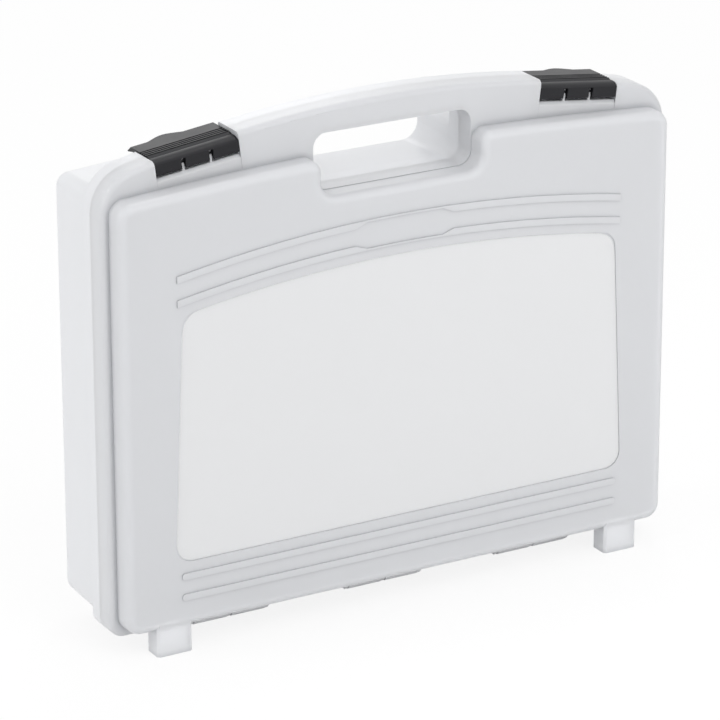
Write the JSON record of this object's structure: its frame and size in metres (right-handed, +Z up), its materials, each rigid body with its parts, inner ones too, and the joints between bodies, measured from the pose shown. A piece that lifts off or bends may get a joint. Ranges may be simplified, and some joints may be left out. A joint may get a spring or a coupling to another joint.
{
  "type": "saw blade storage case",
  "caption": "Flat hinged plastic case that stands on feet, with a hand opening, a clear window and snap latches, for storing circular saw blades",
  "frame": {"origin": "Middle of the footprint, on the surface that the feet stand on, with the case closed.", "axes": "X runs along the case, Y from the lid to the back, and Z up from the feet to the handle."},
  "size_m": [0.355, 0.078, 0.294],
  "materials": {
    "shell": "frosted translucent polypropylene, polished clear in the window",
    "latch": "black moulded plastic"
  },
  "bodies": {
    "base": {"base_shell": "shell"},
    "lid": {"lid_shell": "shell"},
    "latch_left": {"latch_left": "latch"},
    "latch_right": {"latch_right": "latch"}
  },
  "joints": [
    {"name": "lid_hinge", "type": "hinge", "parent": "base", "child": "lid", "pos_m": [0, -0.0123, 0.0064], "axis": [1, 0, 0], "range_deg": [0, 165]},
    {"name": "latch_left_hinge", "type": "hinge", "parent": "lid", "child": "latch_left", "pos_m": [-0.1195, -0.0219, 0.277], "axis": [0.9925, 0, 0.1219], "range_deg": [0, 90]},
    {"name": "latch_right_hinge", "type": "hinge", "parent": "lid", "child": "latch_right", "pos_m": [0.1195, -0.0219, 0.277], "axis": [0.9925, 0, -0.1219], "range_deg": [0, 90]}
  ]
}
